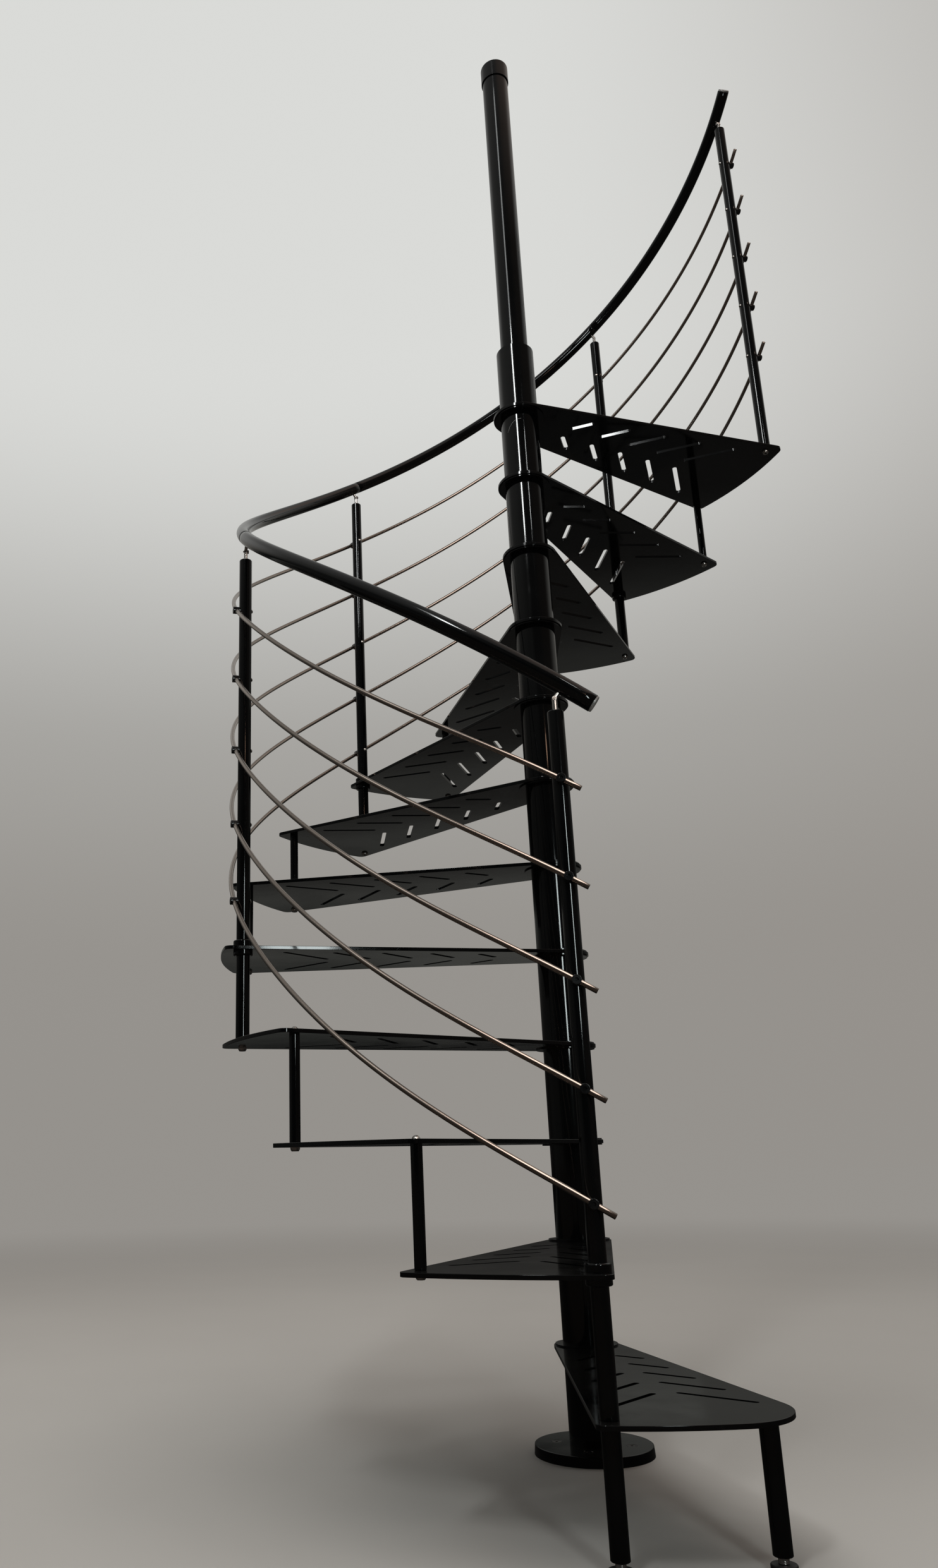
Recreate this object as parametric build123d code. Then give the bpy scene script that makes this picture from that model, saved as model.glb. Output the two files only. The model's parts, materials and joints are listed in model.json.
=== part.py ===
from build123d import *
import math
import os

# Spiral stair round a steel column: wedge treads clamped between spacer tubes,
# tied to each other at the rim by posts, with a helical handrail and five rods.
# Millimetres, +Z up. Origin: on the floor, at the column's axis.
# The stair rises clockwise as seen from above.

# ---- driving dimensions -----------------------------------------------------
RISE = 210.0                 # floor to tread 1, and tread to tread
STEP = 22.6                  # turn from one tread to the next, degrees
FIRST = -72.8                # direction of tread 1, degrees from +X
TREADS = 12
PLATE = 8.0                  # tread plate
BOSS_R, BOSS_H = 66.0, 3.0   # thin hub rings, one on each face of a tread
EYE_R = 69.0                 # round inner end of the tread
SIDE = 7.9                   # slope of a tread's side to its centre line, degrees
OUT_R = 788.0                # outer edge of the tread
CORNER = 17.0                # rounding of the tread's outer corners
START_CORNER = 120.0         # rounding of tread 1's free front corner
EDGE = 0.9                   # softened plate edges
POLE_R = 37.0                # inner pole
POLE_HOLE = 37.5
POLE_TOP = 3700.0
CAP_R, CAP_LOW, CAP_TOP = 40.0, 3688.0, 3746.0
TUBE_R, TUBE_WALL = 50.0, 4.0
RING_H = 6.0                 # turned ring that centres each spacer on the pole
BASE_R, BASE_H, BASE_TAPER = 124.0, 20.0, 1.6
SPACER_TOP = 2722.0          # top of the last spacer
BASE_SCREW_R, BASE_SCREWS = 78.0, 4
SLOT_W = 12.0
SLOTS = 5                    # on each half of a tread
SLOT_X0, SLOT_PITCH = 152.0, 97.4
SLOT_Y = 19.0
SLOT_ANGLE = 45.5
SLOT_L0, SLOT_GROW = 66.0, 19.6
RIM_R = 746.0                # radius of the posts' ring
TALL_R, SHORT_R = 15.0, 10.5
TALL_TOP = 950.0             # post top above the upper of its two treads
HOLE_R = 5.5                 # bolt holes
COLLAR_R = 21.5
COLLAR_UP, COLLAR_DOWN = 14.5, 12.0   # collar above and below the tread
LEG_OFFSET = 7.6             # front leg, degrees from tread 1's centre line
LEG_RIM = 742.0
LEG_LOW, PAD_R, PAD_H, PIN_R = 21.0, 20.0, 11.0, 7.5
HEAD_R, HEAD_H = 7.5, 6.2    # domed bolt heads over the treads
BUTTON_R, BUTTON_H, BUTTON_FLAT = 9.2, 7.2, 6.5   # socket heads under the treads
POST_ROUND, POST_FOOT = 2.2, 1.0
RODS = 5
ROD_R = 5.0
ROD_RIM = 766.8
ROD_LOW, ROD_GAP = 103.0, 178.0   # first rod above the upper tread, and spacing
ROD_START = 8.8              # where the rods begin, degrees up from tread 1
HANG = (92.0, 336.0, -177.0)   # shape of the rods' hang in the lowest bay, 28 mm at most
RAIL_R = 17.0
RAIL_RIM = 744.5
RAIL_UP = 1012.0             # handrail above the upper tread of a post
RAIL_START = 6.0
OVERRUN = 4.0                # handrail past the last post, degrees
CLAMP_R, CLAMP_OUT = 8.6, 9.0
SWIVEL_UP = 975.0            # swivel above the upper tread
PIN_STEM, PIN_ARM = 4.6, 3.9
CLEAR = 0.3

os.makedirs("parts", exist_ok=True)


def azimuth(turn):
    # plan direction after climbing `turn` degrees from tread 1's centre line
    return FIRST - turn


def polar(radius, angle, z=0.0):
    a = math.radians(angle)
    return (radius * math.cos(a), radius * math.sin(a), z)


def post_turn(k):
    # post k joins tread k to tread k+1
    return (k - 0.5) * STEP


def nosing(turn):
    # height of the line through the treads' centres
    return RISE * (1.0 + turn / STEP)


def write(name, shape):
    shape.label = name
    export_step(shape, f"parts/{name}.step")


def solids_of(items):
    return Compound(children=list(items))


# ---- which posts are tall ---------------------------------------------------
TALL = [1, 4, 7, 10, 12]
SHORT = [2, 3, 5, 6, 8, 9, 11]

# ---- treads -----------------------------------------------------------------
phi = math.radians(SIDE)
reach = math.sqrt(OUT_R ** 2 - EYE_R ** 2)
tan_pt = (-EYE_R * math.sin(phi), EYE_R * math.cos(phi))
corner_pt = (tan_pt[0] + reach * math.cos(phi), tan_pt[1] + reach * math.sin(phi))


def tread_outline(front_round, rear_round):
    up = ThreePointArc((tan_pt[0], -tan_pt[1]), (-EYE_R, 0), tan_pt)
    front = Line(tan_pt, corner_pt)
    rim = ThreePointArc(corner_pt, (OUT_R, 0), (corner_pt[0], -corner_pt[1]))
    rear = Line((corner_pt[0], -corner_pt[1]), (tan_pt[0], -tan_pt[1]))
    face = make_face([up, front, rim, rear])
    ends = sorted(face.vertices(), key=lambda v: v.X)[-2:]
    first = max(ends, key=lambda v: v.Y)
    face = fillet([first], front_round)
    ends = [v for v in face.vertices() if v.Y < 0 and v.X > 0.9 * OUT_R]
    last = min(ends, key=lambda v: v.Y)
    return fillet([last], rear_round)


def make_tread(index):
    outline = tread_outline(START_CORNER if index == 1 else CORNER, CORNER)
    plate = extrude(outline, amount=-PLATE, dir=(0, 0, 1))
    rim_edges = [e for e in plate.edges() if abs(e.center().Z) < 0.01 or abs(e.center().Z + PLATE) < 0.01]
    plate = fillet(rim_edges, EDGE)
    for z in (BOSS_H / 2, -PLATE - BOSS_H / 2):
        plate += Pos(0, 0, z) * Cylinder(BOSS_R, BOSS_H)
    cuts = Pos(0, 0, -PLATE) * Cylinder(POLE_HOLE, 4 * PLATE)
    for i in range(SLOTS):
        length = SLOT_L0 + SLOT_GROW * i
        for sign in (1, -1):
            a = math.radians(SLOT_ANGLE)
            x = SLOT_X0 + SLOT_PITCH * i + 0.5 * length * math.cos(a)
            y = sign * (SLOT_Y + 0.5 * length * math.sin(a))
            slot = extrude(Pos(x, y) * Rot(Z=sign * SLOT_ANGLE) * SlotOverall(length, SLOT_W), amount=2 * PLATE, both=True)
            cuts += slot
    half = STEP / 2
    # front hole takes the post from the tread below, rear hole the bolt of the next post
    if index > 1:
        below = index - 1
        r = TALL_R + CLEAR if below in TALL else HOLE_R
        x, y, _ = polar(RIM_R, half)
        cuts += Pos(x, y, 0) * Cylinder(r, 4 * PLATE)
    x, y, _ = polar(RIM_R, -half)
    cuts += Pos(x, y, 0) * Cylinder(HOLE_R, 4 * PLATE)
    tread = plate - cuts
    return Pos(0, 0, RISE * index) * Rot(Z=azimuth((index - 1) * STEP)) * tread


for n in range(1, TREADS + 1):
    write(f"tread_{n:02d}", make_tread(n))

# ---- column -----------------------------------------------------------------
base = extrude(Circle(BASE_R), amount=BASE_H, taper=math.degrees(math.atan(BASE_TAPER / BASE_H)))
base = fillet([e for e in base.edges() if abs(e.center().Z - BASE_H) < 0.01], 1.2)
for i in range(BASE_SCREWS):
    x, y, _ = polar(BASE_SCREW_R, -5.7 - 360.0 / BASE_SCREWS * i)
    base -= Pos(x, y, BASE_H / 2) * Cylinder(HOLE_R, 2 * BASE_H)
    base -= Pos(x, y, BASE_H - 3.0) * Cone(HOLE_R, HOLE_R + 6.02, 6.02)
write("base_plate", base)

write("centre_pole", Pos(0, 0, (BASE_H + POLE_TOP) / 2) * Cylinder(POLE_R, POLE_TOP - BASE_H))

cap = Pos(0, 0, (CAP_LOW + CAP_TOP) / 2) * Cylinder(CAP_R, CAP_TOP - CAP_LOW)
cap = fillet([e for e in cap.edges() if abs(e.center().Z - CAP_TOP) < 0.01], 7.0)
cap -= Pos(0, 0, (CAP_LOW + POLE_TOP) / 2) * Cylinder(POLE_R + CLEAR, POLE_TOP - CAP_LOW)
write("pole_cap", cap)


def spacer(low, high):
    inner, ring = TUBE_R - TUBE_WALL, POLE_HOLE
    pts = [(ring, low), (TUBE_R, low), (TUBE_R, high), (ring, high), (ring, high - RING_H),
           (inner, high - RING_H), (inner, low + RING_H), (ring, low + RING_H)]
    wire = Polyline([(x, 0, z) for x, z in pts], close=True)
    return revolve(make_face(wire), Axis.Z)


levels = [BASE_H] + [RISE * n + BOSS_H for n in range(1, TREADS + 1)]
tubes = []
for n, low in enumerate(levels):
    high = RISE * (n + 1) - PLATE - BOSS_H if n < TREADS else SPACER_TOP
    tubes.append(spacer(low, high))
write("column_spacers", solids_of(tubes))

# ---- posts and legs ---------------------------------------------------------
def upright(radius, low, high, x, y, rounded=0.0):
    # round bar with a small chamfer at its foot, and its top rounded where that shows
    bar = Pos(x, y, (low + high) / 2) * Cylinder(radius, high - low)
    if rounded:
        bar = fillet([e for e in bar.edges() if abs(e.center().Z - high) < 0.01], rounded)
    return chamfer([e for e in bar.edges() if abs(e.center().Z - low) < 0.01], POST_FOOT)


for n, k in enumerate(TALL, 1):
    x, y, _ = polar(RIM_R, azimuth(post_turn(k)))
    write(f"baluster_{n}", upright(TALL_R, RISE * k, RISE * (k + 1) + TALL_TOP, x, y, POST_ROUND))

for n, k in enumerate(SHORT, 1):
    x, y, _ = polar(RIM_R, azimuth(post_turn(k)))
    write(f"short_post_{n}", upright(SHORT_R, RISE * k, RISE * (k + 1) - PLATE, x, y))

leg_spots = [polar(RIM_R, azimuth(post_turn(1))), polar(LEG_RIM, azimuth(-LEG_OFFSET))]
write("start_legs", solids_of(upright(TALL_R, LEG_LOW, RISE - PLATE, x, y) for x, y, _ in leg_spots))
feet = []
for x, y, _ in leg_spots:
    pad = Pos(x, y, PAD_H / 2) * Cylinder(PAD_R, PAD_H)
    pad = fillet([e for e in pad.edges() if abs(e.center().Z - PAD_H) < 0.01], 2.0)
    feet.append(pad + Pos(x, y, (PAD_H + LEG_LOW) / 2) * Cylinder(PIN_R, LEG_LOW - PAD_H))
write("leg_feet", solids_of(feet))

# ---- collars where a tall post passes a tread --------------------------------
collars = []
for k in TALL:
    if k == TREADS:
        continue
    x, y, _ = polar(RIM_R, azimuth(post_turn(k)))
    top = RISE * (k + 1)
    for low, tall_, round_at in ((top, COLLAR_UP, top + COLLAR_UP), (top - PLATE - COLLAR_DOWN, COLLAR_DOWN, top - PLATE - COLLAR_DOWN)):
        ring = Pos(x, y, low + tall_ / 2) * Cylinder(COLLAR_R, tall_)
        ring = fillet([e for e in ring.edges() if abs(e.center().Z - round_at) < 0.01], 3.2)
        ring -= Pos(x, y, low) * Cylinder(TALL_R + CLEAR / 2, 4 * tall_)
        collars.append(ring)
write("baluster_collars", solids_of(collars))

# ---- bolts: socket heads under the treads, domed ones over them ---------------
def dome(x, y, z, up):
    # low domed head with a shank that reaches through the plate
    sphere_r = (HEAD_R ** 2 + HEAD_H ** 2) / (2 * HEAD_H)
    cap_ = Pos(0, 0, HEAD_H - sphere_r) * Sphere(sphere_r) & Pos(0, 0, 15) * Box(60, 60, 30)
    shank = Pos(0, 0, -PLATE / 2) * Cylinder(HOLE_R - CLEAR, PLATE)
    piece = cap_ + shank
    return Pos(x, y, z) * (piece if up else Rot(X=180) * piece)


def button(x, y, z):
    # head under a tread: rounded flank, flat face with a hexagon socket, and the shank above
    wire = [Line((0, 0), (BUTTON_R, 0)), Line((BUTTON_R, 0), (BUTTON_R, 0.8)),
            ThreePointArc((BUTTON_R, 0.8), (BUTTON_R - 0.7, 4.6), (BUTTON_FLAT, BUTTON_H)),
            Line((BUTTON_FLAT, BUTTON_H), (0, BUTTON_H)), Line((0, BUTTON_H), (0, 0))]
    head = revolve(Plane.XZ * make_face(wire), Axis.Z)
    head -= Pos(0, 0, BUTTON_H - 1.9) * extrude(RegularPolygon(3.6, 6), amount=3.8, both=True)
    head += Pos(0, 0, -PLATE / 2) * Cylinder(HOLE_R - CLEAR, PLATE)
    return Pos(x, y, z) * Rot(X=180) * head


bolts = []
for k in sorted(TALL + SHORT):
    x, y, _ = polar(RIM_R, azimuth(post_turn(k)))
    if k > 1:
        bolts.append(button(x, y, RISE * k - PLATE))
    if k in SHORT:
        bolts.append(dome(x, y, RISE * (k + 1), True))
write("post_bolts", solids_of(bolts))


# ---- helical rods and handrail ------------------------------------------------
# Each bar follows the helix as a chain of short circular bends, tangent to each
# other, two to every stretch of about one tread, or half a tread for the rods.
def hang(turn):
    # how far a rod hangs below the helix between the first two tall posts, and how
    # fast that grows; the free end past the first post runs straight on
    low, high = post_turn(TALL[0]), post_turn(TALL[1])
    s = (turn - low) / (high - low)
    if s >= 1.0:
        return 0.0, 0.0
    if s <= 0.0:
        return HANG[0] * s, HANG[0] / (high - low)
    p = HANG[0] * s + HANG[1] * s ** 2 + HANG[2] * s ** 3
    dp = HANG[0] + 2 * HANG[1] * s + 3 * HANG[2] * s ** 2
    return p * (1 - s) ** 2, (dp * (1 - s) ** 2 - 2 * p * (1 - s)) / (high - low)


def helix_point(rim, turn, above, slack=False):
    # point on the helix and the direction in which it climbs there
    a = math.radians(azimuth(turn))
    drop, slope = hang(turn) if slack else (0.0, 0.0)
    point = Vector(rim * math.cos(a), rim * math.sin(a), nosing(turn) + above - drop)
    level = rim * math.radians(1.0)
    along = Vector(level * math.sin(a), -level * math.cos(a), RISE / STEP - slope)
    return point, along.normalized()


def bend_pair(p0, t0, p1, t1):
    # the point and direction where two equal bends from p0 to p1 meet
    d, s = p1 - p0, t0 + t1
    qa, qb, qc = s.dot(s) - 4.0, -2.0 * d.dot(s), d.dot(d)
    root = math.sqrt(qb * qb - 4.0 * qa * qc)
    reach_ = min(r for r in ((-qb - root) / (2 * qa), (-qb + root) / (2 * qa)) if r > 0)
    q0, q1 = p0 + t0 * reach_, p1 - t1 * reach_
    return (q0 + q1) * 0.5, (q1 - q0).normalized()


def bend(p, t, q):
    # centre, axis and angle of the circular bend that leaves p along t and reaches q
    chord = q - p
    axis = t.cross(chord).normalized()
    inward = axis.cross(t).normalized()
    radius = chord.dot(chord) / (2 * chord.dot(inward))
    angle = 2 * math.atan2(chord.dot(inward), chord.dot(t))
    return p + inward * radius, axis, math.degrees(angle)


def helix_bar(radius, rim, start, end, above, slack=False):
    # round bar along the stair's helix, from `start` to `end` degrees of climb
    count = max(1, round((end - start) / STEP * (2 if slack else 1)))
    bends = []
    for i in range(count):
        p0, t0 = helix_point(rim, start + (end - start) * i / count, above, slack)
        p1, t1 = helix_point(rim, start + (end - start) * (i + 1) / count, above, slack)
        middle, tm = bend_pair(p0, t0, p1, t1)
        bends += [(p0, t0, middle), (middle, tm, p1)]
    centre, _, _ = bend(*bends[0])
    origin, along, _ = bends[0]
    profile = (Plane(origin=origin, x_dir=(centre - origin).normalized(), z_dir=along) * Circle(radius)).faces()[0]
    skin = [profile]
    for p, t, q in bends:
        centre, axis, angle = bend(p, t, q)
        piece = Solid.revolve(profile, angle, Axis(tuple(centre), tuple(axis)))
        skin += [f for f in piece.faces() if f.geom_type != GeomType.PLANE]
        profile = min(piece.faces(), key=lambda f: (f.center() - q).length)
    return Solid(Shell(skin + [profile]))


last_turn = post_turn(TALL[-1])
half_rise = RISE / 2
for j in range(RODS):
    rod = helix_bar(ROD_R, ROD_RIM, ROD_START, last_turn + OVERRUN - 1.2, half_rise + ROD_LOW + ROD_GAP * j, True)
    write(f"rod_{j + 1}", rod)

cuts = [RAIL_START, post_turn(4), post_turn(7), post_turn(10), last_turn + OVERRUN]
for n in range(4):
    rail = helix_bar(RAIL_R, RAIL_RIM, cuts[n], cuts[n + 1], half_rise + RAIL_UP)
    write(f"handrail_{n + 1}", rail)


def on_helix(turn, rim, above):
    # frame on the helix: x outwards, z along the climb
    x, y, z = polar(rim, azimuth(turn), nosing(turn) + above)
    a = math.radians(azimuth(turn))
    pitch = RISE * 360.0 / STEP
    lean = math.atan2(pitch, 2 * math.pi * rim)
    along = (math.sin(a) * math.cos(lean), -math.cos(a) * math.cos(lean), math.sin(lean))
    return Plane(origin=(x, y, z), x_dir=(math.cos(a), math.sin(a), 0), z_dir=along)


caps = []
for turn, sign in ((RAIL_START, -1), (last_turn + OVERRUN, 1)):
    frame = on_helix(turn, RAIL_RIM, half_rise + RAIL_UP)
    disc = Pos(0, 0, 2.0) * Cylinder(RAIL_R - 1.0, 4.0)
    disc = fillet([e for e in disc.edges() if abs(e.center().Z - 4.0) < 0.01], 1.5)
    if sign < 0:
        disc = Rot(X=180) * disc
    caps.append(frame * disc)
write("handrail_end_caps", solids_of(caps))

# ---- rod clamps: saddle, round body round the rod, hexagon socket ------------
clamps = []
for k in TALL:
    a = azimuth(post_turn(k))
    for j in range(RODS):
        z = RISE * (k + 1) + ROD_LOW + ROD_GAP * j
        low, high = RIM_R + 8.0, ROD_RIM + CLAMP_OUT
        body = Pos(low, 0, 0) * Rot(Y=90) * Cylinder(CLAMP_R, high - low, align=(Align.CENTER, Align.CENTER, Align.MIN))
        body = fillet([e for e in body.edges() if abs(e.center().X - high) < 0.01], 1.0)
        body -= Pos(RIM_R, 0, 0) * Cylinder(TALL_R + CLEAR, 60)
        _, along = helix_point(ROD_RIM, post_turn(k), 0.0, True)
        lean = math.degrees(math.atan2(along.Z, math.hypot(along.X, along.Y)))
        body -= Pos(ROD_RIM, 0, 0) * Rot(X=90 - lean) * Cylinder(ROD_R + CLEAR, 60)
        socket = extrude(Plane(origin=(high, 0, 0), x_dir=(0, 1, 0), z_dir=(1, 0, 0)) * RegularPolygon(3.6, 6), amount=-3.5)
        body -= socket
        clamps.append(Pos(0, 0, z) * Rot(Z=a) * body)
write("rod_clamps", solids_of(clamps))

nuts = []
for k in TALL:
    a = azimuth(post_turn(k))
    for j in range(RODS):
        z = RISE * (k + 1) + ROD_LOW + ROD_GAP * j
        r, h = 5.0, 3.2
        sphere_r = (r ** 2 + h ** 2) / (2 * h)
        head = Pos(0, 0, h - sphere_r) * Sphere(sphere_r) & Pos(0, 0, 15) * Box(60, 60, 30)
        nuts.append(Pos(0, 0, z) * Rot(Z=a) * Pos(RIM_R - TALL_R, 0, 0) * Rot(Y=-90) * head)
write("clamp_screws", solids_of(nuts))

# ---- swivel pins between posts and handrail ----------------------------------
pins = []
for k in TALL:
    a = azimuth(post_turn(k))
    pitch = RISE * 360.0 / STEP
    lean = math.degrees(math.atan2(pitch, 2 * math.pi * RAIL_RIM))
    z0 = RISE * (k + 1)
    stem = Pos(0, 0, (TALL_TOP + SWIVEL_UP) / 2) * Cylinder(PIN_STEM, SWIVEL_UP - TALL_TOP) + Pos(0, 0, SWIVEL_UP) * Sphere(PIN_STEM)
    foot = Pos(0, 0, TALL_TOP + 1.5) * Cylinder(6.5, 3.0)
    foot = fillet([e for e in foot.edges() if abs(e.center().Z - TALL_TOP - 3.0) < 0.01], 0.8)
    knuckle = Pos(-1.3, 0, SWIVEL_UP) * Rot(Y=90) * Cylinder(PIN_STEM, 11.8)
    knuckle = fillet([e for e in knuckle.edges() if abs(abs(e.center().X + 1.3) - 5.9) < 0.01], 0.8)
    pivot = Pos(5.0, 0, SWIVEL_UP) * Rot(Y=90) * Cylinder(2.0, 3.0)
    run = (RAIL_UP - SWIVEL_UP) * math.cos(math.radians(lean)) - RAIL_R - 0.2
    arm = Pos(0, 0, SWIVEL_UP) * Rot(X=-lean) * Pos(0, 0, run / 2) * Cylinder(PIN_ARM, run)
    pin = stem + foot + knuckle + pivot + arm
    pins.append(Pos(0, 0, z0) * Rot(Z=a) * Pos(RIM_R, 0, 0) * pin)
write("handrail_pins", solids_of(pins))
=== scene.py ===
import json
import math

import bmesh
import bpy
from mathutils import Matrix, Vector

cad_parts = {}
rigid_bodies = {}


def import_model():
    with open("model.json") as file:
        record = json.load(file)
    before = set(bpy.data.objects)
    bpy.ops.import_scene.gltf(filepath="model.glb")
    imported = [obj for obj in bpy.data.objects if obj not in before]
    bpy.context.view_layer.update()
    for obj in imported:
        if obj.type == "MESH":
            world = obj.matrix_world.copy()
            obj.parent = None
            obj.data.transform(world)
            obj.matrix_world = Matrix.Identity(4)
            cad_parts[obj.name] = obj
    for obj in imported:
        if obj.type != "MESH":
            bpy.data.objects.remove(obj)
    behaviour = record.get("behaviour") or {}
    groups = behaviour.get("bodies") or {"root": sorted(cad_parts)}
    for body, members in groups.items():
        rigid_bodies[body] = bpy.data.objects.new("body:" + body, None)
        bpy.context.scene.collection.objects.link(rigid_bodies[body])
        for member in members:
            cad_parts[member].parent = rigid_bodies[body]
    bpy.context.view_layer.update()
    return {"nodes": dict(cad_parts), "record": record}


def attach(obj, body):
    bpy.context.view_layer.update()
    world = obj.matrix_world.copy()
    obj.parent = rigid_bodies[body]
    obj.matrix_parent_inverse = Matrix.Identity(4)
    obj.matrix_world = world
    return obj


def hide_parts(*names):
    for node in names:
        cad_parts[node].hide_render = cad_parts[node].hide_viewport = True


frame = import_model()

# Sizes of the stair, in metres, as its frame has them.
RISE, STEP, FIRST = 0.210, 22.6, -72.8
TALL = (1, 4, 7, 10, 12)
ROD_R, ROD_RIM, ROD_LOW, ROD_GAP, ROD_START = 0.005, 0.7668, 0.103, 0.178, 8.8
RODS, HANG = 5, (0.0920, 0.3360, -0.1770)
RAIL_R, RAIL_RIM, RAIL_UP, RAIL_START = 0.017, 0.7445, 1.012, 6.0
OVERRUN = 4.0
BASE_H, BASE_SCREW_R, BASE_SCREWS = 0.020, 0.078, 4
TUBE_R = 0.050


def azimuth(turn):
    return math.radians(FIRST - turn)


def post_turn(k):
    return (k - 0.5) * STEP


def polar(radius, angle, z=0.0):
    return Vector((radius * math.cos(angle), radius * math.sin(angle), z))


# --------------------------------------------------------------- node helpers
class Val:
    """A socket or a number, with arithmetic that makes Math nodes."""

    def __init__(self, tree, value):
        self.tree, self.value = tree, value

    def _op(self, operation, *others, clamp=False):
        node = self.tree.nodes.new("ShaderNodeMath")
        node.operation = operation
        node.use_clamp = clamp
        for socket, item in zip(node.inputs, (self,) + others):
            item = item.value if isinstance(item, Val) else item
            if isinstance(item, (int, float)):
                socket.default_value = item
            else:
                self.tree.links.new(item, socket)
        return Val(self.tree, node.outputs[0])

    def __add__(self, o): return self._op("ADD", o)
    def __radd__(self, o): return self._op("ADD", o)
    def __sub__(self, o): return self._op("SUBTRACT", o)
    def __rsub__(self, o): return Val(self.tree, o)._op("SUBTRACT", self)
    def __mul__(self, o): return self._op("MULTIPLY", o)
    def __rmul__(self, o): return self._op("MULTIPLY", o)
    def __truediv__(self, o): return self._op("DIVIDE", o)
    def absolute(self): return self._op("ABSOLUTE")
    def root(self): return self._op("SQRT")
    def power(self, o): return self._op("POWER", o)
    def most(self, o): return self._op("MAXIMUM", o)
    def least(self, o): return self._op("MINIMUM", o)
    def clamped(self): return self._op("ADD", 0.0, clamp=True)

    def step(self, low, high, to_low=0.0, to_high=1.0, kind="SMOOTHSTEP"):
        node = self.tree.nodes.new("ShaderNodeMapRange")
        node.interpolation_type = kind
        self.tree.links.new(self.value, node.inputs["Value"])
        for key, v in (("From Min", low), ("From Max", high), ("To Min", to_low), ("To Max", to_high)):
            node.inputs[key].default_value = v
        return Val(self.tree, node.outputs["Result"])


def blend(tree, fac, a, b):
    node = tree.nodes.new("ShaderNodeMix")
    node.data_type = "RGBA"
    tree.links.new(fac.value, node.inputs["Factor"])
    for socket, value in ((node.inputs[6], a), (node.inputs[7], b)):
        if isinstance(value, tuple):
            socket.default_value = (*value, 1.0)
        else:
            tree.links.new(value, socket)
    return node.outputs[2]


def parts_of(tree, vector):
    node = tree.nodes.new("ShaderNodeSeparateXYZ")
    tree.links.new(vector, node.inputs[0])
    return tuple(Val(tree, node.outputs[i]) for i in range(3))


def joined(tree, x, y, z):
    node = tree.nodes.new("ShaderNodeCombineXYZ")
    for socket, item in zip(node.inputs, (x, y, z)):
        if isinstance(item, Val):
            tree.links.new(item.value, socket)
        else:
            socket.default_value = item
    return node.outputs[0]


def scaled(tree, vector, sx, sy, sz):
    node = tree.nodes.new("ShaderNodeMapping")
    tree.links.new(vector, node.inputs["Vector"])
    node.inputs["Scale"].default_value = (sx, sy, sz)
    return node.outputs[0]


def noise(tree, vector, scale, detail=3.0, rough=0.5, distortion=0.0):
    node = tree.nodes.new("ShaderNodeTexNoise")
    node.inputs["Scale"].default_value = scale
    node.inputs["Detail"].default_value = detail
    node.inputs["Roughness"].default_value = rough
    node.inputs["Distortion"].default_value = distortion
    tree.links.new(vector, node.inputs["Vector"])
    return Val(tree, node.outputs["Fac"])


def bump(tree, shader, *layers):
    normal = None
    for height, strength, distance in layers:
        node = tree.nodes.new("ShaderNodeBump")
        node.inputs["Strength"].default_value = strength
        node.inputs["Distance"].default_value = distance
        tree.links.new(height.value, node.inputs["Height"])
        if normal is not None:
            tree.links.new(normal, node.inputs["Normal"])
        normal = node.outputs["Normal"]
    tree.links.new(normal, shader.inputs["Normal"])


def tree_of(name):
    material = bpy.data.materials.new(name)
    material.use_nodes = True
    tree = material.node_tree
    tree.nodes.clear()
    out = tree.nodes.new("ShaderNodeOutputMaterial")
    shader = tree.nodes.new("ShaderNodeBsdfPrincipled")
    tree.links.new(shader.outputs["BSDF"], out.inputs["Surface"])
    return material, tree, shader


def object_vector(tree):
    return tree.nodes.new("ShaderNodeTexCoord").outputs["Object"]


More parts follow.
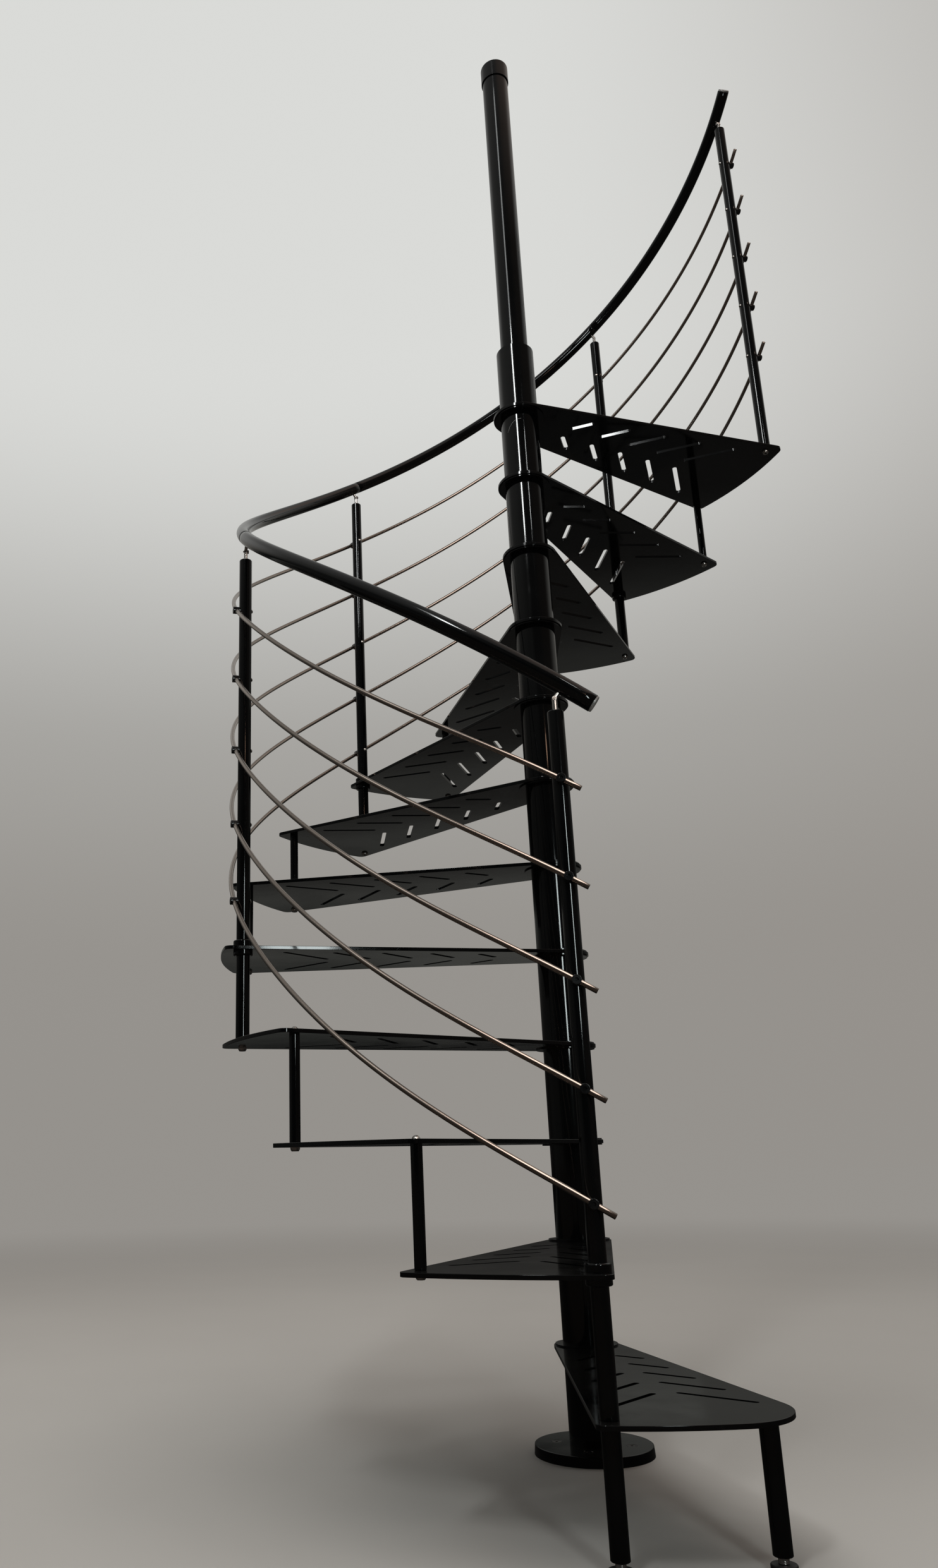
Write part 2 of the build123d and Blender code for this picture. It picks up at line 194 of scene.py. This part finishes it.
# ------------------------------------------------------------------ materials
def black_paint(name="black_paint", scratch=None):
    # glossy black powder coat: fine orange peel, slow waves, dust and rubs on what faces up
    material, tree, shader = tree_of(name)
    where = object_vector(tree)
    cloud = noise(tree, where, 7.0, 5.0, 0.6)
    specks = noise(tree, where, 650.0, 2.0, 0.6)
    peel = noise(tree, where, 230.0, 2.0, 0.5)
    wave = noise(tree, where, 14.0, 2.0, 0.5)
    rubs = noise(tree, scaled(tree, where, 1.0, 1.0, 0.25), 26.0, 6.0, 0.65, 1.4)
    normal = tree.nodes.new("ShaderNodeNewGeometry").outputs["Normal"]
    facing_up = parts_of(tree, normal)[2].step(0.75, 0.98)
    dust = facing_up * cloud.step(0.30, 0.72, 0.25, 1.0) * (specks.step(0.45, 0.75, 0.55, 1.0))
    rubbed = rubs.step(0.60, 0.74)
    colour = blend(tree, cloud.step(0.3, 0.7), (0.0011, 0.0013, 0.0015), (0.0022, 0.0024, 0.0027))
    colour = blend(tree, dust * 0.30, colour, (0.060, 0.056, 0.050))
    colour = blend(tree, rubbed * 0.10, colour, (0.030, 0.030, 0.030))
    rough = cloud.step(0.3, 0.7, 0.055, 0.095) + dust * 0.10 + rubbed * 0.05
    if scratch:
        x, y, z = parts_of(tree, where)
        turn = y._op("ARCTAN2", x) * TUBE_R
        near = None
        for (ta, za), (tb, zb) in zip(scratch[:-1], scratch[1:]):
            # distance in the unrolled surface from one stretch of the scratch
            ax, bx = math.radians(ta) * TUBE_R, math.radians(tb) * TUBE_R
            dx, dz = bx - ax, zb - za
            length = dx * dx + dz * dz
            along = (((turn - ax) * dx + (z - za) * dz) / length).clamped()
            far = ((turn - ax - along * dx).power(2.0) + (z - za - along * dz).power(2.0)).root()
            near = far if near is None else near.least(far)
        mark = near.step(0.00018, 0.00042, 1.0, 0.0) * specks.step(0.28, 0.55, 0.35, 1.0)
        colour = blend(tree, mark, colour, (0.42, 0.42, 0.41))
        rough = rough + mark * 0.4
    tree.links.new(colour, shader.inputs["Base Color"])
    tree.links.new(rough.value, shader.inputs["Roughness"])
    shader.inputs["IOR"].default_value = 1.5
    bump(tree, shader, (wave, 0.10, 0.0010), (peel, 0.018, 0.0005))
    return material


def drawn_steel(name, lines_from_uv):
    # stainless: lines along a drawn rod, faint cloudiness, small stains; on the rods a darker copper-brown tone
    # that is painted warm reflection
    material, tree, shader = tree_of(name)
    shader.inputs["Metallic"].default_value = 1.0
    where = object_vector(tree)
    if lines_from_uv:
        along = tree.nodes.new("ShaderNodeTexCoord").outputs["UV"]
        lines = noise(tree, scaled(tree, along, 14.0, 1.2, 1.0), 1.0, 2.0, 0.5)
        marks = noise(tree, scaled(tree, along, 3.0, 9.0, 1.0), 1.0, 2.0, 0.5)
    else:
        lines = noise(tree, scaled(tree, where, 1.0, 1.0, 0.3), 900.0, 3.0, 0.6)
        marks = noise(tree, where, 160.0, 3.0, 0.6)
    # the rods' steel is darker and copper-brown: painted warm reflection on stainless steel; the other steel keeps
    # the neutral grey of stainless
    dark, pale, stain = (((0.430, 0.370, 0.325), (0.500, 0.435, 0.385), (0.33, 0.28, 0.245)) if lines_from_uv
                         else ((0.53, 0.505, 0.475), (0.63, 0.60, 0.565), (0.36, 0.33, 0.29)))
    colour = blend(tree, lines.step(0.30, 0.70), dark, pale)
    colour = blend(tree, marks.step(0.58, 0.80) * 0.22, colour, stain)
    tree.links.new(colour, shader.inputs["Base Color"])
    rough = lines.step(0.30, 0.70, 0.25, 0.22) + marks.step(0.55, 0.80, 0.0, 0.02)
    tree.links.new(rough.value, shader.inputs["Roughness"])
    if not lines_from_uv:
        bump(tree, shader, (lines, 0.04, 0.0001))
    return material


def grey_metal():
    # cast end caps: matt grey, turned rings
    material, tree, shader = tree_of("grey_metal")
    where = object_vector(tree)
    shader.inputs["Metallic"].default_value = 0.6
    cloud = noise(tree, where, 120.0, 4.0, 0.6)
    grain = noise(tree, where, 1400.0, 2.0, 0.5)
    colour = blend(tree, cloud.step(0.3, 0.7), (0.30, 0.295, 0.285), (0.44, 0.435, 0.425))
    tree.links.new(colour, shader.inputs["Base Color"])
    rough = cloud.step(0.3, 0.7, 0.30, 0.42)
    tree.links.new(rough.value, shader.inputs["Roughness"])
    bump(tree, shader, (grain, 0.10, 0.0001))
    return material


def black_plastic():
    material, tree, shader = tree_of("black_plastic")
    where = object_vector(tree)
    grain = noise(tree, where, 1100.0, 2.0, 0.5)
    cloud = noise(tree, where, 45.0, 4.0, 0.6)
    normal = tree.nodes.new("ShaderNodeNewGeometry").outputs["Normal"]
    dust = parts_of(tree, normal)[2].step(0.5, 0.95) * cloud.step(0.35, 0.7)
    colour = blend(tree, cloud.step(0.3, 0.7), (0.008, 0.008, 0.008), (0.015, 0.015, 0.015))
    colour = blend(tree, dust * 0.35, colour, (0.07, 0.065, 0.06))
    tree.links.new(colour, shader.inputs["Base Color"])
    rough = cloud.step(0.3, 0.7, 0.40, 0.55)
    tree.links.new(rough.value, shader.inputs["Roughness"])
    bump(tree, shader, (grain, 0.25, 0.0002))
    return material


def satin_black():
    # finer, duller black of the clamp bodies, rubbed grey in places
    material, tree, shader = tree_of("satin_black")
    where = object_vector(tree)
    cloud = noise(tree, where, 60.0, 4.0, 0.6)
    grain = noise(tree, where, 1600.0, 2.0, 0.5)
    rubs = noise(tree, where, 210.0, 4.0, 0.6, 0.8)
    colour = blend(tree, cloud.step(0.3, 0.7), (0.0030, 0.0032, 0.0035), (0.0062, 0.0064, 0.0068))
    colour = blend(tree, rubs.step(0.62, 0.76) * 0.25, colour, (0.045, 0.045, 0.046))
    tree.links.new(colour, shader.inputs["Base Color"])
    rough = cloud.step(0.3, 0.7, 0.17, 0.25)
    tree.links.new(rough.value, shader.inputs["Roughness"])
    shader.inputs["IOR"].default_value = 1.5
    bump(tree, shader, (grain, 0.06, 0.0002))
    return material


def burnished():
    # the blackened screws in the base
    material, tree, shader = tree_of("burnished_screw")
    where = object_vector(tree)
    shader.inputs["Metallic"].default_value = 1.0
    cloud = noise(tree, where, 240.0, 4.0, 0.6)
    colour = blend(tree, cloud.step(0.35, 0.75), (0.035, 0.034, 0.034), (0.13, 0.12, 0.11))
    tree.links.new(colour, shader.inputs["Base Color"])
    rough = cloud.step(0.3, 0.7, 0.28, 0.45)
    tree.links.new(rough.value, shader.inputs["Roughness"])
    bump(tree, shader, (cloud, 0.15, 0.0002))
    return material


# the thin curved scratch on the spacer under the top tread: angle and height
SCRATCH = [(-126.5, 2.4515), (-119.5, 2.4625), (-111.0, 2.4722), (-102.0, 2.4785), (-91.5, 2.4818), (-80.0, 2.4824)]

PAINT = black_paint()
SPACER_PAINT = black_paint("black_paint_spacers", SCRATCH)
STEEL = drawn_steel("stainless_steel", False)
ROD_STEEL = drawn_steel("stainless_drawn", True)
CAP_METAL = grey_metal()
PLASTIC = black_plastic()
SCREW = burnished()
SATIN = satin_black()
BY_SLOT = {"black_paint": PAINT, "stainless_steel": STEEL, "grey_metal": CAP_METAL, "black_plastic": PLASTIC}

slots = {p["node"]: p["material_slot"] for p in frame["record"]["subparts"]}
for name, obj in frame["nodes"].items():
    obj.data.materials.clear()
    special = {"column_spacers": SPACER_PAINT, "rod_clamps": SATIN}
    obj.data.materials.append(special.get(name, BY_SLOT[slots[name]]))


# --------------------------------------------------------------------- pieces
def keep(mesh_builder, name, material, replaced=()):
    bm = bmesh.new()
    mesh_builder(bm)
    bmesh.ops.recalc_face_normals(bm, faces=bm.faces)
    mesh = bpy.data.meshes.new(name)
    bm.to_mesh(mesh)
    bm.free()
    mesh.materials.append(material)
    obj = bpy.data.objects.new(name, mesh)
    bpy.context.scene.collection.objects.link(obj)
    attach(obj, "root")
    if replaced:
        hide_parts(*replaced)
    return obj


def hang(turn):
    # drop of a rod below the helix between the first two tall posts, and its growth
    low, high = post_turn(TALL[0]), post_turn(TALL[1])
    s = (turn - low) / (high - low)
    if s >= 1.0:
        return 0.0, 0.0
    if s <= 0.0:
        return HANG[0] * s, HANG[0] / (high - low)
    p = HANG[0] * s + HANG[1] * s ** 2 + HANG[2] * s ** 3
    dp = HANG[0] + 2 * HANG[1] * s + 3 * HANG[2] * s ** 2
    return p * (1 - s) ** 2, (dp * (1 - s) ** 2 - 2 * p * (1 - s)) / (high - low)


def helix(rim, turn, above, slack):
    # point on the bar's centre line, its direction, and the outward direction there
    a = azimuth(turn)
    drop, slope = hang(turn) if slack else (0.0, 0.0)
    point = polar(rim, a, RISE * (1 + turn / STEP) + above - drop)
    level = rim * math.radians(1.0)
    along = Vector((level * math.sin(a), -level * math.cos(a), RISE / STEP - slope)).normalized()
    return point, along, Vector((math.cos(a), math.sin(a), 0.0))


def sweep(radius, rim, start, end, above, slack, sides, step, chamfer):
    # round bar along the climb, with a small chamfer and a flat disc at each end, and UVs
    def build(bm):
        uv = bm.loops.layers.uv.new("UVMap")
        count = max(2, round((end - start) / step))
        rings, lengths, run = [], [], 0.0
        last = None
        spots = [(start, radius - chamfer, 0.0), ]
        rad_per = math.degrees(chamfer / math.hypot(rim, RISE / STEP * 180 / math.pi))
        inner = [(start + rad_per + (end - start - 2 * rad_per) * i / count, radius, 0.0) for i in range(count + 1)]
        spots = [(start, radius - chamfer, 0.0)] + inner + [(end, radius - chamfer, 0.0)]
        for turn, r, _ in spots:
            p, t, out = helix(rim, turn, above, slack)
            side = t.cross(out).normalized()
            if last is not None:
                run += (p - last).length
            last = p
            ring = [bm.verts.new(p + (out * math.cos(q) + side * math.sin(q)) * r)
                    for q in (2 * math.pi * i / sides for i in range(sides))]
            rings.append(ring)
            lengths.append(run)
        for n in range(len(rings) - 1):
            for i in range(sides):
                j = (i + 1) % sides
                face = bm.faces.new((rings[n][i], rings[n][j], rings[n + 1][j], rings[n + 1][i]))
                face.smooth = 0 < n < len(rings) - 2
                for loop, (uu, vv) in zip(face.loops, ((i, n), (i + 1, n), (i + 1, n + 1), (i, n + 1))):
                    loop[uv].uv = (uu / sides, lengths[vv])
        for ring, flip in ((rings[0], True), (rings[-1], False)):
            face = bm.faces.new(list(reversed(ring)) if flip else ring)
            face.smooth = False
            for i, loop in enumerate(face.loops):
                q = 2 * math.pi * i / sides
                loop[uv].uv = (0.5 + 0.05 * math.cos(q), 0.5 + 0.05 * math.sin(q))
    return build


last_turn = post_turn(TALL[-1])
half_rise = RISE / 2
for j in range(RODS):
    keep(sweep(ROD_R, ROD_RIM, ROD_START, last_turn + OVERRUN - 1.2, half_rise + ROD_LOW + ROD_GAP * j, True, 24, 1.25, 0.0005),
         "steel_rod_%d" % (j + 1), ROD_STEEL, ("rod_%d" % (j + 1),))

cuts = [RAIL_START, post_turn(4), post_turn(7), post_turn(10), last_turn + OVERRUN]
for n in range(4):
    keep(sweep(RAIL_R, RAIL_RIM, cuts[n], cuts[n + 1], half_rise + RAIL_UP, False, 48, 1.25, 0.0004),
         "rail_%d" % (n + 1), PAINT, ("handrail_%d" % (n + 1),))


def base_screw(x, y, turn):
    # countersunk screw with a hexagon socket, just below the plate's face
    def build(bm):
        sides = 48
        hexa = [Vector((0.0032 * math.cos(math.radians(60 * k)), 0.0032 * math.sin(math.radians(60 * k)), 0)) for k in range(6)]

        def hex_at(q, grow=1.0):
            # the socket's outline in direction q
            q = q % (2 * math.pi)
            k = int(q / (math.pi / 3)) % 6
            a, b = hexa[k], hexa[(k + 1) % 6]
            d = Vector((math.cos(q), math.sin(q), 0))
            cross = (b - a).cross(d).z
            t = a.cross(b - a).z / d.cross(b - a).z if abs(cross) > 1e-12 else a.length
            return d * t * grow

        profile = [("r", 0.0052, 0.0125), ("r", 0.0052, 0.0145), ("r", 0.0104, 0.0193), ("r", 0.0102, 0.0197),
                   ("h", 1.10, 0.0197), ("h", 1.0, 0.0194), ("h", 1.0, 0.0160)]
        rings = []
        for kind, size, z in profile:
            ring = []
            for i in range(sides):
                q = 2 * math.pi * i / sides
                spot = Vector((size * math.cos(q), size * math.sin(q), 0)) if kind == "r" else hex_at(q, size)
                spot.rotate(Matrix.Rotation(turn, 3, "Z"))
                ring.append(bm.verts.new((x + spot.x, y + spot.y, z)))
            rings.append(ring)
        for n in range(len(rings) - 1):
            for i in range(sides):
                k = (i + 1) % sides
                face = bm.faces.new((rings[n][i], rings[n][k], rings[n + 1][k], rings[n + 1][i]))
                face.smooth = n in (0, 1)
        bm.faces.new(list(reversed(rings[0])))
        bm.faces.new(rings[-1])
    return build


for i in range(BASE_SCREWS):
    spot = polar(BASE_SCREW_R, math.radians(-5.7 - 360.0 / BASE_SCREWS * i))
    keep(base_screw(spot.x, spot.y, 0.7 * i), "base_screw_%d" % (i + 1), SCREW)



def foot_stud(x, y):
    # threaded stud between a leg and its pad
    def build(bm):
        sides, low, high = 40, 0.0112, 0.0208
        profile = [(0.0076, low)]
        turns = 5
        for k in range(turns):
            z0 = low + 0.0006 + (high - low - 0.0012) * k / turns
            dz = (high - low - 0.0012) / turns
            profile += [(0.0083, z0 + 0.35 * dz), (0.0083, z0 + 0.55 * dz), (0.0077, z0 + 0.95 * dz)]
        profile += [(0.0076, high)]
        rings = [[bm.verts.new((x + r * math.cos(2 * math.pi * i / sides), y + r * math.sin(2 * math.pi * i / sides), z))
                  for i in range(sides)] for r, z in profile]
        for n in range(len(rings) - 1):
            for i in range(sides):
                k = (i + 1) % sides
                face = bm.faces.new((rings[n][i], rings[n][k], rings[n + 1][k], rings[n + 1][i]))
                face.smooth = True
        bm.faces.new(list(reversed(rings[0])))
        bm.faces.new(rings[-1])
    return build


for i, spot in enumerate((polar(0.746, azimuth(post_turn(1))), polar(0.742, azimuth(-7.6))), 1):
    keep(foot_stud(spot.x, spot.y), "foot_stud_%d" % i, STEEL)

# --------------------------------------------------------------- studio floor
bpy.ops.mesh.primitive_plane_add(size=80.0, location=(0, 0, 0))
floor = bpy.context.object
floor.name = "floor"
material, tree, shader = tree_of("floor")
where = object_vector(tree)
x, y, z = parts_of(tree, where)
soft = noise(tree, where, 0.9, 4.0, 0.5)
tree.links.new(blend(tree, soft, (0.56, 0.535, 0.505), (0.62, 0.595, 0.56)), shader.inputs["Base Color"])
shader.inputs["Roughness"].default_value = 0.75
shader.inputs["Specular IOR Level"].default_value = 0.2
out = [n for n in tree.nodes if n.type == "OUTPUT_MATERIAL"][0]
# far away the floor runs into the backdrop; in the paint's reflections it is the darker room
away = (x.power(2.0) + y.power(2.0)).root().step(2.0, 10.0)
horizon = tree.nodes.new("ShaderNodeEmission")
horizon.inputs["Color"].default_value = (0.300, 0.285, 0.265, 1)
seen = tree.nodes.new("ShaderNodeMixShader")
tree.links.new(away.value, seen.inputs[0])
tree.links.new(shader.outputs["BSDF"], seen.inputs[1])
tree.links.new(horizon.outputs[0], seen.inputs[2])
room = blend(tree, y.step(-1.6, -0.2), (0.038, 0.031, 0.026), (0.015, 0.014, 0.013))
room = blend(tree, y.step(2.6, 4.0), room, (0.042, 0.040, 0.037))
room = blend(tree, y.step(4.7, 5.6), room, (0.112, 0.112, 0.103))
room = blend(tree, y.step(5.5, 6.1) * x.step(-2.4, -1.2, 1.0, 0.0), room, (0.045, 0.047, 0.043))
room = blend(tree, y.step(6.9, 8.6), room, (0.008, 0.008, 0.008))
room = blend(tree, x.step(1.0, 1.7), room, (0.030, 0.026, 0.023))
mirrored = tree.nodes.new("ShaderNodeEmission")
tree.links.new(room, mirrored.inputs["Color"])
path = tree.nodes.new("ShaderNodeLightPath")
final = tree.nodes.new("ShaderNodeMixShader")
tree.links.new(path.outputs["Is Glossy Ray"], final.inputs[0])
tree.links.new(seen.outputs[0], final.inputs[1])
tree.links.new(mirrored.outputs[0], final.inputs[2])
tree.links.new(final.outputs[0], out.inputs["Surface"])
floor.data.materials.append(material)

# ---------------------------------------------------------------------- light
world = bpy.data.worlds.new("studio")
bpy.context.scene.world = world
world.use_nodes = True
tree = world.node_tree
tree.nodes.clear()
out = tree.nodes.new("ShaderNodeOutputWorld")
x, y, z = parts_of(tree, tree.nodes.new("ShaderNodeTexCoord").outputs["Generated"])
flat = (x.power(2.0) + y.power(2.0)).root().most(0.001)
cx, cy = x / flat, y / flat

# what the surfaces reflect: a dim room, brighter walls on the far side, a pale ceiling
low_back = blend(tree, z.step(0.20, 0.45), (0.013, 0.013, 0.013), (0.085, 0.085, 0.080))
back_left = blend(tree, z.step(0.45, 0.62), low_back, (0.20, 0.20, 0.195))
back_right = blend(tree, z.step(0.20, 0.45), (0.013, 0.013, 0.013), (0.040, 0.038, 0.036))
env = blend(tree, cx.step(-0.35, 0.05), back_left, back_right)
left = blend(tree, z.step(0.30, 0.62), (0.055, 0.055, 0.052), (0.20, 0.20, 0.19))
env = blend(tree, (cx * -1.0).step(0.45, 0.85), env, left)
right = blend(tree, z.step(0.25, 0.60), (0.050, 0.043, 0.038), (0.065, 0.055, 0.048))
env = blend(tree, cx.step(0.45, 0.85), env, right)
far = blend(tree, z.step(0.05, 0.15), (0.021, 0.020, 0.019), (0.062, 0.061, 0.056))
lower = blend(tree, cx.step(0.013, 0.019), (0.150, 0.152, 0.140), (0.102, 0.101, 0.093))
far = blend(tree, z.step(0.14, 0.20), far, lower)
corner = blend(tree, cx.step(-0.085, -0.045), (0.018, 0.019, 0.018), (0.070, 0.072, 0.066))
far = blend(tree, z.step(0.193, 0.203), far, corner)
far = blend(tree, z.step(0.24, 0.42), far, (0.240, 0.232, 0.212))
far = blend(tree, z.step(0.35, 0.60), far, (0.42, 0.42, 0.405))
env = blend(tree, cy.step(-0.05, 0.55), env, far)
ceiling = blend(tree, x.step(0.05, 0.45), (0.26, 0.258, 0.25), (0.46, 0.37, 0.32))
env = blend(tree, z.step(0.66, 0.82), env, ceiling)
lit = tree.nodes.new("ShaderNodeBackground")
tree.links.new(env, lit.inputs["Color"])

# what the camera sees: a plain backdrop, paler towards the top
drop = blend(tree, z.step(-0.02, 0.20), (0.300, 0.285, 0.265), (0.305, 0.290, 0.270))
drop = blend(tree, z.step(0.15, 0.42), drop, (0.400, 0.392, 0.372))
drop = blend(tree, z.step(0.33, 0.62), drop, (0.700, 0.705, 0.685))
drop = blend(tree, cx.step(-0.1, 0.9) * z.step(-0.1, 0.1), drop, (0.300, 0.272, 0.248))
shown = tree.nodes.new("ShaderNodeBackground")
tree.links.new(drop, shown.inputs["Color"])
path = tree.nodes.new("ShaderNodeLightPath")
final = tree.nodes.new("ShaderNodeMixShader")
tree.links.new(path.outputs["Is Camera Ray"], final.inputs[0])
tree.links.new(lit.outputs[0], final.inputs[1])
tree.links.new(shown.outputs[0], final.inputs[2])
tree.links.new(final.outputs[0], out.inputs["Surface"])


def panel(name, size, where, radiance, colour=(1, 1, 1), target=(0, 0, 1.4), glossy=True, diffuse=True, on=None):
    data = bpy.data.lights.new(name, "AREA")
    data.shape = "RECTANGLE"
    data.size, data.size_y = size
    data.energy = radiance * size[0] * size[1] * 4.0
    data.color = colour
    obj = bpy.data.objects.new(name, data)
    bpy.context.scene.collection.objects.link(obj)
    obj.location = where
    obj.rotation_mode = "QUATERNION"
    obj.rotation_quaternion = (Vector(target) - Vector(where)).to_track_quat("-Z", "Y")
    obj.visible_camera = False
    obj.visible_glossy = glossy
    obj.visible_diffuse = diffuse
    if on is not None:
        obj.light_linking.receiver_collection = on
    return obj


# the tall lights shine on the painted parts only, so the satin rods keep a soft sheen
painted, drawn = bpy.data.collections.new("painted"), bpy.data.collections.new("drawn")
for group in (painted, drawn):
    bpy.context.scene.collection.children.link(group)
for obj in list(bpy.context.scene.objects):
    if obj.type == "MESH" and obj.data.materials:
        if obj.data.materials[0] != ROD_STEEL:
            painted.objects.link(obj)
        if obj.data.materials[0] in (ROD_STEEL, STEEL):
            drawn.objects.link(obj)


# soft light for the floor, and the tall lights that draw the streaks on the paint
panel("sheen_left", (1.8, 1.8), (-1.2, -2.7, 4.7), 0.8, (1.0, 0.96, 0.92), on=drawn)
panel("sheen_right", (3.6, 2.8), (1.85, -2.7, 3.9), 2.3, (1.0, 0.88, 0.82), on=drawn)
panel("overhead", (5.0, 5.0), (-0.6, -0.4, 7.0), 1.85, (1.0, 0.985, 0.96), (0, 0, 0), glossy=False)
panel("high_strip", (0.42, 1.52), (-0.77, -3.6, 4.96), 22.0, (0.97, 1.0, 1.0), (-0.05, 0, 4.96), on=painted)
panel("high_strip_top", (0.62, 1.9), (-0.77, -3.6, 6.75), 3.0, (0.97, 1.0, 1.0), (-0.05, 0, 6.75), on=painted)
panel("thin_strip", (0.14, 0.72), (2.08, -3.6, 4.90), 14.0, (0.97, 1.0, 1.0), (0, 0, 4.90), on=painted)
panel("low_strip", (0.40, 1.05), (1.55, -3.6, 1.66), 11.0, (0.90, 1.0, 1.0), (0, 0, 1.66), on=painted)
panel("warm_strip", (0.30, 0.16), (1.45, -3.6, 2.90), 5.0, (1.0, 0.62, 0.42), (0, 0, 2.90), on=painted)

# --------------------------------------------------------------------- camera
YAW, PITCH, ROLL = 0.245121228927281, 0.2943535822423114, -0.02080141864059549
FOCAL, AXIS_U, AXIS_V = 1827.7386285392354, 552.7353855013168, 1280.9701034165378
forward = Vector((-math.sin(YAW) * math.cos(PITCH), math.cos(YAW) * math.cos(PITCH), math.sin(PITCH)))
right0 = Vector((math.cos(YAW), math.sin(YAW), 0.0))
up0 = right0.cross(forward)
right = right0 * math.cos(ROLL) + up0 * math.sin(ROLL)
up = -right0 * math.sin(ROLL) + up0 * math.cos(ROLL)
data = bpy.data.cameras.new("camera")
camera = bpy.data.objects.new("camera", data)
bpy.context.scene.collection.objects.link(camera)
camera.matrix_world = Matrix((
    (right.x, up.x, -forward.x, 0.1858097315700669),
    (right.y, up.y, -forward.y, -2.736115959721792),
    (right.z, up.z, -forward.z, 0.5985943723347175),
    (0, 0, 0, 1)))
data.sensor_fit = "AUTO"
data.sensor_width = 36.0
data.lens = 36.0 * FOCAL / 2482.0
data.shift_x = (742.0 - AXIS_U) / 2482.0
data.shift_y = (AXIS_V - 1241.0) / 2482.0
data.clip_start, data.clip_end = 0.02, 300.0
bpy.context.scene.camera = camera
bpy.context.scene.view_settings.view_transform = "Standard"

bpy.context.view_layer.update()
